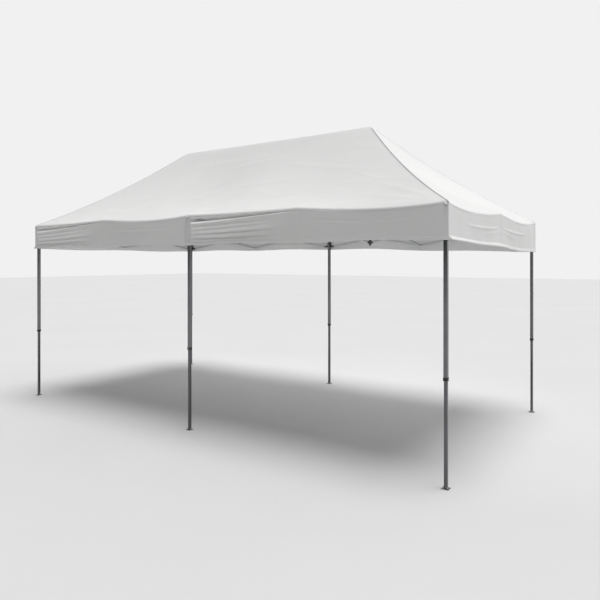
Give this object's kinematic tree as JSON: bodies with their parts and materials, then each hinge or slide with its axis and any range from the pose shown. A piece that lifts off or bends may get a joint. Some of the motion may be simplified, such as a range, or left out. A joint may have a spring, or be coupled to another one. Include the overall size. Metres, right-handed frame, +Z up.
{
  "type": "pop up canopy",
  "caption": "Folding canopy on telescopic legs, with crossed-bar trusses, peak poles and a white hip roof with a valance all round.",
  "frame": {"origin": "on the floor, at the middle of the six feet", "axes": "+X along the long side, towards the right end; -Y is the front long side; +Z up"},
  "size_m": [6.07, 3.07, 3.49],
  "materials": {
    "leg_metal": "satin anodised square tube",
    "inner_metal": "satin anodised tube, a little darker",
    "bar_metal": "satin flat bar with round ends",
    "black_plastic": "moulded black nylon with a fine grain",
    "white_fabric": "white coated polyester, plain weave, light creases"
  },
  "bodies": {
    "front_middle_leg": {"front_middle_leg": "leg_metal"},
    "front_2_fall_bar": {"front_2_fall_bar": "bar_metal"},
    "front_2_rise_bar": {"front_2_rise_bar": "bar_metal"},
    "front_middle_slider": {"front_middle_slider": "black_plastic"},
    "front_left_top_bracket": {"front_left_top_bracket": "black_plastic"},
    "front_1_fall_bar": {"front_1_fall_bar": "bar_metal"},
    "front_1_rise_bar": {"front_1_rise_bar": "bar_metal"},
    "front_left_leg": {"front_left_leg": "leg_metal"},
    "front_left_slider": {"front_left_slider": "black_plastic"},
    "cross_left_1_fall_bar": {"cross_left_1_fall_bar": "bar_metal"},
    "cross_left_1_rise_bar": {"cross_left_1_rise_bar": "bar_metal"},
    "left_peak_pole": {"left_peak_pole": "leg_metal"},
    "left_sliding_hub": {"left_sliding_hub": "black_plastic"},
    "cross_left_2_fall_bar": {"cross_left_2_fall_bar": "bar_metal"},
    "cross_left_2_rise_bar": {"cross_left_2_rise_bar": "bar_metal"},
    "back_left_top_bracket": {"back_left_top_bracket": "black_plastic"},
    "left_1_fall_bar": {"left_1_fall_bar": "bar_metal"},
    "left_1_rise_bar": {"left_1_rise_bar": "bar_metal"},
    "left_2_fall_bar": {"left_2_fall_bar": "bar_metal"},
    "left_2_rise_bar": {"left_2_rise_bar": "bar_metal"},
    "back_left_leg": {"back_left_leg": "leg_metal"},
    "back_left_slider": {"back_left_slider": "black_plastic"},
    "back_1_fall_bar": {"back_1_fall_bar": "bar_metal"},
    "back_1_rise_bar": {"back_1_rise_bar": "bar_metal"},
    "back_2_fall_bar": {"back_2_fall_bar": "bar_metal"},
    "back_2_rise_bar": {"back_2_rise_bar": "bar_metal"},
    "back_middle_leg": {"back_middle_leg": "leg_metal"},
    "back_middle_slider": {"back_middle_slider": "black_plastic"},
    "front_3_fall_bar": {"front_3_fall_bar": "bar_metal"},
    "front_3_rise_bar": {"front_3_rise_bar": "bar_metal"},
    "front_right_top_bracket": {"front_right_top_bracket": "black_plastic"},
    "front_4_fall_bar": {"front_4_fall_bar": "bar_metal"},
    "front_4_rise_bar": {"front_4_rise_bar": "bar_metal"},
    "front_right_leg": {"front_right_leg": "leg_metal"},
    "front_right_slider": {"front_right_slider": "black_plastic"},
    "cross_right_1_fall_bar": {"cross_right_1_fall_bar": "bar_metal"},
    "cross_right_1_rise_bar": {"cross_right_1_rise_bar": "bar_metal"},
    "right_peak_pole": {"right_peak_pole": "leg_metal"},
    "right_sliding_hub": {"right_sliding_hub": "black_plastic"},
    "cross_right_2_fall_bar": {"cross_right_2_fall_bar": "bar_metal"},
    "cross_right_2_rise_bar": {"cross_right_2_rise_bar": "bar_metal"},
    "back_right_top_bracket": {"back_right_top_bracket": "black_plastic"},
    "right_1_fall_bar": {"right_1_fall_bar": "bar_metal"},
    "right_1_rise_bar": {"right_1_rise_bar": "bar_metal"},
    "right_2_fall_bar": {"right_2_fall_bar": "bar_metal"},
    "right_2_rise_bar": {"right_2_rise_bar": "bar_metal"},
    "back_right_leg": {"back_right_leg": "leg_metal"},
    "back_right_slider": {"back_right_slider": "black_plastic"},
    "back_4_fall_bar": {"back_4_fall_bar": "bar_metal"},
    "back_4_rise_bar": {"back_4_rise_bar": "bar_metal"},
    "back_3_fall_bar": {"back_3_fall_bar": "bar_metal"},
    "back_3_rise_bar": {"back_3_rise_bar": "bar_metal"},
    "canopy_front": {"canopy_front": "white_fabric"},
    "canopy_back": {"canopy_back": "white_fabric"},
    "front_left_foot_leg": {"front_left_foot_leg": "inner_metal"},
    "front_middle_foot_leg": {"front_middle_foot_leg": "inner_metal"},
    "front_right_foot_leg": {"front_right_foot_leg": "inner_metal"},
    "back_left_foot_leg": {"back_left_foot_leg": "inner_metal"},
    "back_middle_foot_leg": {"back_middle_foot_leg": "inner_metal"},
    "back_right_foot_leg": {"back_right_foot_leg": "inner_metal"}
  },
  "joints": [
    {"name": "canopy_fold", "type": "hinge", "parent": "front_middle_leg", "child": "front_2_fall_bar", "pos_m": [-0.082, -1.5, 2.38], "axis": [0, -1, 0], "range_deg": [0, 76]},
    {"name": "front_2_crossing", "type": "hinge", "parent": "front_2_fall_bar", "child": "front_2_rise_bar", "pos_m": [-0.791, -1.5, 2.25498], "axis": [0, 1, 0], "range_deg": [0, 152]},
    {"name": "front_middle_slider_pivot", "type": "hinge", "parent": "front_2_rise_bar", "child": "front_middle_slider", "pos_m": [-0.082, -1.5, 2.12997], "axis": [0, -1, 0], "range_deg": [0, 76]},
    {"name": "front_left_top_bracket_pivot", "type": "hinge", "parent": "front_2_rise_bar", "child": "front_left_top_bracket", "pos_m": [-1.5, -1.5, 2.38], "axis": [0, -1, 0], "range_deg": [0, 76]},
    {"name": "front_left_lower_pivot", "type": "hinge", "parent": "front_2_fall_bar", "child": "front_1_fall_bar", "pos_m": [-1.5, -1.5, 2.12997], "axis": [0, 1, 0], "range_deg": [0, 152]},
    {"name": "front_1_crossing", "type": "hinge", "parent": "front_1_fall_bar", "child": "front_1_rise_bar", "pos_m": [-2.209, -1.5, 2.25498], "axis": [0, -1, 0], "range_deg": [0, 152]},
    {"name": "front_left_leg_pivot", "type": "hinge", "parent": "front_1_fall_bar", "child": "front_left_leg", "pos_m": [-2.918, -1.5, 2.38], "axis": [0, -1, 0], "range_deg": [0, 76]},
    {"name": "front_left_slider_pivot", "type": "hinge", "parent": "front_1_rise_bar", "child": "front_left_slider", "pos_m": [-2.918, -1.5, 2.12997], "axis": [0, 1, 0], "range_deg": [0, 76]},
    {"name": "cross_left_1_pivot", "type": "hinge", "parent": "front_left_top_bracket", "child": "cross_left_1_fall_bar", "pos_m": [-1.5, -1.464, 2.38], "axis": [-1, 0, 0], "range_deg": [0, 76]},
    {"name": "cross_left_1_crossing", "type": "hinge", "parent": "cross_left_1_fall_bar", "child": "cross_left_1_rise_bar", "pos_m": [-1.5, -0.755, 2.25498], "axis": [1, 0, 0], "range_deg": [0, 152]},
    {"name": "left_peak_pole_pivot", "type": "hinge", "parent": "cross_left_1_fall_bar", "child": "left_peak_pole", "pos_m": [-1.5, -0.046, 2.12997], "axis": [1, 0, 0], "range_deg": [0, 76]},
    {"name": "left_sliding_hub_pivot", "type": "hinge", "parent": "cross_left_1_rise_bar", "child": "left_sliding_hub", "pos_m": [-1.5, -0.046, 2.38], "axis": [-1, 0, 0], "range_deg": [0, 76]},
    {"name": "cross_left_2_pivot", "type": "hinge", "parent": "left_peak_pole", "child": "cross_left_2_fall_bar", "pos_m": [-1.5, 0.046, 2.12997], "axis": [1, 0, 0], "range_deg": [0, 76]},
    {"name": "cross_left_2_crossing", "type": "hinge", "parent": "cross_left_2_fall_bar", "child": "cross_left_2_rise_bar", "pos_m": [-1.5, 0.755, 2.25498], "axis": [-1, 0, 0], "range_deg": [0, 152]},
    {"name": "back_left_top_bracket_pivot", "type": "hinge", "parent": "cross_left_2_fall_bar", "child": "back_left_top_bracket", "pos_m": [-1.5, 1.464, 2.38], "axis": [-1, 0, 0], "range_deg": [0, 76]},
    {"name": "left_1_pivot", "type": "hinge", "parent": "front_left_leg", "child": "left_1_fall_bar", "pos_m": [-3, -1.418, 2.38], "axis": [-1, 0, 0], "range_deg": [0, 76]},
    {"name": "left_1_crossing", "type": "hinge", "parent": "left_1_fall_bar", "child": "left_1_rise_bar", "pos_m": [-3, -0.709, 2.25498], "axis": [1, 0, 0], "range_deg": [0, 152]},
    {"name": "left_end_lower_pivot", "type": "hinge", "parent": "left_1_fall_bar", "child": "left_2_fall_bar", "pos_m": [-3, 0, 2.12997], "axis": [1, 0, 0], "range_deg": [0, 152]},
    {"name": "left_2_crossing", "type": "hinge", "parent": "left_2_fall_bar", "child": "left_2_rise_bar", "pos_m": [-3, 0.709, 2.25498], "axis": [-1, 0, 0], "range_deg": [0, 152]},
    {"name": "back_left_leg_pivot", "type": "hinge", "parent": "left_2_fall_bar", "child": "back_left_leg", "pos_m": [-3, 1.418, 2.38], "axis": [-1, 0, 0], "range_deg": [0, 76]},
    {"name": "back_left_slider_pivot", "type": "hinge", "parent": "left_2_rise_bar", "child": "back_left_slider", "pos_m": [-3, 1.418, 2.12997], "axis": [1, 0, 0], "range_deg": [0, 76]},
    {"name": "back_1_pivot", "type": "hinge", "parent": "back_left_leg", "child": "back_1_fall_bar", "pos_m": [-2.918, 1.5, 2.38], "axis": [0, 1, 0], "range_deg": [0, 76]},
    {"name": "back_1_crossing", "type": "hinge", "parent": "back_1_fall_bar", "child": "back_1_rise_bar", "pos_m": [-2.209, 1.5, 2.25498], "axis": [0, -1, 0], "range_deg": [0, 152]},
    {"name": "back_left_lower_pivot", "type": "hinge", "parent": "back_1_fall_bar", "child": "back_2_fall_bar", "pos_m": [-1.5, 1.5, 2.12997], "axis": [0, -1, 0], "range_deg": [0, 152]},
    {"name": "back_2_crossing", "type": "hinge", "parent": "back_2_fall_bar", "child": "back_2_rise_bar", "pos_m": [-0.791, 1.5, 2.25498], "axis": [0, 1, 0], "range_deg": [0, 152]},
    {"name": "back_middle_leg_pivot", "type": "hinge", "parent": "back_2_fall_bar", "child": "back_middle_leg", "pos_m": [-0.082, 1.5, 2.38], "axis": [0, 1, 0], "range_deg": [0, 76]},
    {"name": "back_middle_slider_pivot", "type": "hinge", "parent": "back_2_rise_bar", "child": "back_middle_slider", "pos_m": [-0.082, 1.5, 2.12997], "axis": [0, -1, 0], "range_deg": [0, 76]},
    {"name": "front_right_bay_fold", "type": "hinge", "parent": "front_middle_leg", "child": "front_3_fall_bar", "pos_m": [0.082, -1.5, 2.38], "axis": [0, 1, 0], "range_deg": [0, 76]},
    {"name": "front_3_crossing", "type": "hinge", "parent": "front_3_fall_bar", "child": "front_3_rise_bar", "pos_m": [0.791, -1.5, 2.25498], "axis": [0, -1, 0], "range_deg": [0, 152]},
    {"name": "front_right_top_bracket_pivot", "type": "hinge", "parent": "front_3_rise_bar", "child": "front_right_top_bracket", "pos_m": [1.5, -1.5, 2.38], "axis": [0, 1, 0], "range_deg": [0, 76]},
    {"name": "front_right_lower_pivot", "type": "hinge", "parent": "front_3_fall_bar", "child": "front_4_fall_bar", "pos_m": [1.5, -1.5, 2.12997], "axis": [0, -1, 0], "range_deg": [0, 152]},
    {"name": "front_4_crossing", "type": "hinge", "parent": "front_4_fall_bar", "child": "front_4_rise_bar", "pos_m": [2.209, -1.5, 2.25498], "axis": [0, 1, 0], "range_deg": [0, 152]},
    {"name": "front_right_leg_pivot", "type": "hinge", "parent": "front_4_fall_bar", "child": "front_right_leg", "pos_m": [2.918, -1.5, 2.38], "axis": [0, 1, 0], "range_deg": [0, 76]},
    {"name": "front_right_slider_pivot", "type": "hinge", "parent": "front_4_rise_bar", "child": "front_right_slider", "pos_m": [2.918, -1.5, 2.12997], "axis": [0, -1, 0], "range_deg": [0, 76]},
    {"name": "cross_right_1_pivot", "type": "hinge", "parent": "front_right_top_bracket", "child": "cross_right_1_fall_bar", "pos_m": [1.5, -1.464, 2.38], "axis": [-1, 0, 0], "range_deg": [0, 76]},
    {"name": "cross_right_1_crossing", "type": "hinge", "parent": "cross_right_1_fall_bar", "child": "cross_right_1_rise_bar", "pos_m": [1.5, -0.755, 2.25498], "axis": [1, 0, 0], "range_deg": [0, 152]},
    {"name": "right_peak_pole_pivot", "type": "hinge", "parent": "cross_right_1_fall_bar", "child": "right_peak_pole", "pos_m": [1.5, -0.046, 2.12997], "axis": [1, 0, 0], "range_deg": [0, 76]},
    {"name": "right_sliding_hub_pivot", "type": "hinge", "parent": "cross_right_1_rise_bar", "child": "right_sliding_hub", "pos_m": [1.5, -0.046, 2.38], "axis": [-1, 0, 0], "range_deg": [0, 76]},
    {"name": "cross_right_2_pivot", "type": "hinge", "parent": "right_peak_pole", "child": "cross_right_2_fall_bar", "pos_m": [1.5, 0.046, 2.12997], "axis": [1, 0, 0], "range_deg": [0, 76]},
    {"name": "cross_right_2_crossing", "type": "hinge", "parent": "cross_right_2_fall_bar", "child": "cross_right_2_rise_bar", "pos_m": [1.5, 0.755, 2.25498], "axis": [-1, 0, 0], "range_deg": [0, 152]},
    {"name": "back_right_top_bracket_pivot", "type": "hinge", "parent": "cross_right_2_fall_bar", "child": "back_right_top_bracket", "pos_m": [1.5, 1.464, 2.38], "axis": [-1, 0, 0], "range_deg": [0, 76]},
    {"name": "right_1_pivot", "type": "hinge", "parent": "front_right_leg", "child": "right_1_fall_bar", "pos_m": [3, -1.418, 2.38], "axis": [-1, 0, 0], "range_deg": [0, 76]},
    {"name": "right_1_crossing", "type": "hinge", "parent": "right_1_fall_bar", "child": "right_1_rise_bar", "pos_m": [3, -0.709, 2.25498], "axis": [1, 0, 0], "range_deg": [0, 152]},
    {"name": "right_end_lower_pivot", "type": "hinge", "parent": "right_1_fall_bar", "child": "right_2_fall_bar", "pos_m": [3, 0, 2.12997], "axis": [1, 0, 0], "range_deg": [0, 152]},
    {"name": "right_2_crossing", "type": "hinge", "parent": "right_2_fall_bar", "child": "right_2_rise_bar", "pos_m": [3, 0.709, 2.25498], "axis": [-1, 0, 0], "range_deg": [0, 152]},
    {"name": "back_right_leg_pivot", "type": "hinge", "parent": "right_2_fall_bar", "child": "back_right_leg", "pos_m": [3, 1.418, 2.38], "axis": [-1, 0, 0], "range_deg": [0, 76]},
    {"name": "back_right_slider_pivot", "type": "hinge", "parent": "right_2_rise_bar", "child": "back_right_slider", "pos_m": [3, 1.418, 2.12997], "axis": [1, 0, 0], "range_deg": [0, 76]},
    {"name": "back_4_pivot", "type": "hinge", "parent": "back_right_leg", "child": "back_4_fall_bar", "pos_m": [2.918, 1.5, 2.38], "axis": [0, -1, 0], "range_deg": [0, 76]},
    {"name": "back_4_crossing", "type": "hinge", "parent": "back_4_fall_bar", "child": "back_4_rise_bar", "pos_m": [2.209, 1.5, 2.25498], "axis": [0, 1, 0], "range_deg": [0, 152]},
    {"name": "back_right_lower_pivot", "type": "hinge", "parent": "back_4_fall_bar", "child": "back_3_fall_bar", "pos_m": [1.5, 1.5, 2.12997], "axis": [0, 1, 0], "range_deg": [0, 152]},
    {"name": "back_3_crossing", "type": "hinge", "parent": "back_3_fall_bar", "child": "back_3_rise_bar", "pos_m": [0.791, 1.5, 2.25498], "axis": [0, -1, 0], "range_deg": [0, 152]},
    {"name": "canopy_front_drop", "type": "hinge", "parent": "front_middle_leg", "child": "canopy_front", "pos_m": [0, -1.535, 2.41], "axis": [-1, 0, 0], "range_deg": [0, 121.6], "deforming": ["canopy_front"]},
    {"name": "canopy_back_drop", "type": "hinge", "parent": "back_middle_leg", "child": "canopy_back", "pos_m": [0, 1.535, 2.41], "axis": [1, 0, 0], "range_deg": [0, 121.6], "deforming": ["canopy_back"]},
    {"name": "front_left_leg_extension", "type": "slide", "parent": "front_left_leg", "child": "front_left_foot_leg", "axis": [0, 0, -1], "range_m": [-0.88, 0]},
    {"name": "front_middle_leg_extension", "type": "slide", "parent": "front_middle_leg", "child": "front_middle_foot_leg", "axis": [0, 0, -1], "range_m": [-0.88, 0]},
    {"name": "front_right_leg_extension", "type": "slide", "parent": "front_right_leg", "child": "front_right_foot_leg", "axis": [0, 0, -1], "range_m": [-0.88, 0]},
    {"name": "back_left_leg_extension", "type": "slide", "parent": "back_left_leg", "child": "back_left_foot_leg", "axis": [0, 0, -1], "range_m": [-0.88, 0]},
    {"name": "back_middle_leg_extension", "type": "slide", "parent": "back_middle_leg", "child": "back_middle_foot_leg", "axis": [0, 0, -1], "range_m": [-0.88, 0]},
    {"name": "back_right_leg_extension", "type": "slide", "parent": "back_right_leg", "child": "back_right_foot_leg", "axis": [0, 0, -1], "range_m": [-0.88, 0]}
  ],
  "couplings": [
    {"joint": "front_2_crossing", "follows": "canopy_fold", "ratio": 2},
    {"joint": "front_middle_slider_pivot", "follows": "canopy_fold", "ratio": 1},
    {"joint": "front_left_top_bracket_pivot", "follows": "canopy_fold", "ratio": 1},
    {"joint": "front_left_lower_pivot", "follows": "canopy_fold", "ratio": 2},
    {"joint": "front_1_crossing", "follows": "canopy_fold", "ratio": 2},
    {"joint": "front_left_leg_pivot", "follows": "canopy_fold", "ratio": 1},
    {"joint": "front_left_slider_pivot", "follows": "canopy_fold", "ratio": 1},
    {"joint": "cross_left_1_pivot", "follows": "canopy_fold", "ratio": 1},
    {"joint": "cross_left_1_crossing", "follows": "canopy_fold", "ratio": 2},
    {"joint": "left_peak_pole_pivot", "follows": "canopy_fold", "ratio": 1},
    {"joint": "left_sliding_hub_pivot", "follows": "canopy_fold", "ratio": 1},
    {"joint": "cross_left_2_pivot", "follows": "canopy_fold", "ratio": 1},
    {"joint": "cross_left_2_crossing", "follows": "canopy_fold", "ratio": 2},
    {"joint": "back_left_top_bracket_pivot", "follows": "canopy_fold", "ratio": 1},
    {"joint": "left_1_pivot", "follows": "canopy_fold", "ratio": 1},
    {"joint": "left_1_crossing", "follows": "canopy_fold", "ratio": 2},
    {"joint": "left_end_lower_pivot", "follows": "canopy_fold", "ratio": 2},
    {"joint": "left_2_crossing", "follows": "canopy_fold", "ratio": 2},
    {"joint": "back_left_leg_pivot", "follows": "canopy_fold", "ratio": 1},
    {"joint": "back_left_slider_pivot", "follows": "canopy_fold", "ratio": 1},
    {"joint": "back_1_pivot", "follows": "canopy_fold", "ratio": 1},
    {"joint": "back_1_crossing", "follows": "canopy_fold", "ratio": 2},
    {"joint": "back_left_lower_pivot", "follows": "canopy_fold", "ratio": 2},
    {"joint": "back_2_crossing", "follows": "canopy_fold", "ratio": 2},
    {"joint": "back_middle_leg_pivot", "follows": "canopy_fold", "ratio": 1},
    {"joint": "back_middle_slider_pivot", "follows": "canopy_fold", "ratio": 1},
    {"joint": "front_right_bay_fold", "follows": "canopy_fold", "ratio": 1},
    {"joint": "front_3_crossing", "follows": "canopy_fold", "ratio": 2},
    {"joint": "front_right_top_bracket_pivot", "follows": "canopy_fold", "ratio": 1},
    {"joint": "front_right_lower_pivot", "follows": "canopy_fold", "ratio": 2},
    {"joint": "front_4_crossing", "follows": "canopy_fold", "ratio": 2},
    {"joint": "front_right_leg_pivot", "follows": "canopy_fold", "ratio": 1},
    {"joint": "front_right_slider_pivot", "follows": "canopy_fold", "ratio": 1},
    {"joint": "cross_right_1_pivot", "follows": "canopy_fold", "ratio": 1},
    {"joint": "cross_right_1_crossing", "follows": "canopy_fold", "ratio": 2},
    {"joint": "right_peak_pole_pivot", "follows": "canopy_fold", "ratio": 1},
    {"joint": "right_sliding_hub_pivot", "follows": "canopy_fold", "ratio": 1},
    {"joint": "cross_right_2_pivot", "follows": "canopy_fold", "ratio": 1},
    {"joint": "cross_right_2_crossing", "follows": "canopy_fold", "ratio": 2},
    {"joint": "back_right_top_bracket_pivot", "follows": "canopy_fold", "ratio": 1},
    {"joint": "right_1_pivot", "follows": "canopy_fold", "ratio": 1},
    {"joint": "right_1_crossing", "follows": "canopy_fold", "ratio": 2},
    {"joint": "right_end_lower_pivot", "follows": "canopy_fold", "ratio": 2},
    {"joint": "right_2_crossing", "follows": "canopy_fold", "ratio": 2},
    {"joint": "back_right_leg_pivot", "follows": "canopy_fold", "ratio": 1},
    {"joint": "back_right_slider_pivot", "follows": "canopy_fold", "ratio": 1},
    {"joint": "back_4_pivot", "follows": "canopy_fold", "ratio": 1},
    {"joint": "back_4_crossing", "follows": "canopy_fold", "ratio": 2},
    {"joint": "back_right_lower_pivot", "follows": "canopy_fold", "ratio": 2},
    {"joint": "back_3_crossing", "follows": "canopy_fold", "ratio": 2},
    {"joint": "canopy_front_drop", "follows": "canopy_fold", "ratio": 1.6},
    {"joint": "canopy_back_drop", "follows": "canopy_fold", "ratio": 1.6}
  ]
}
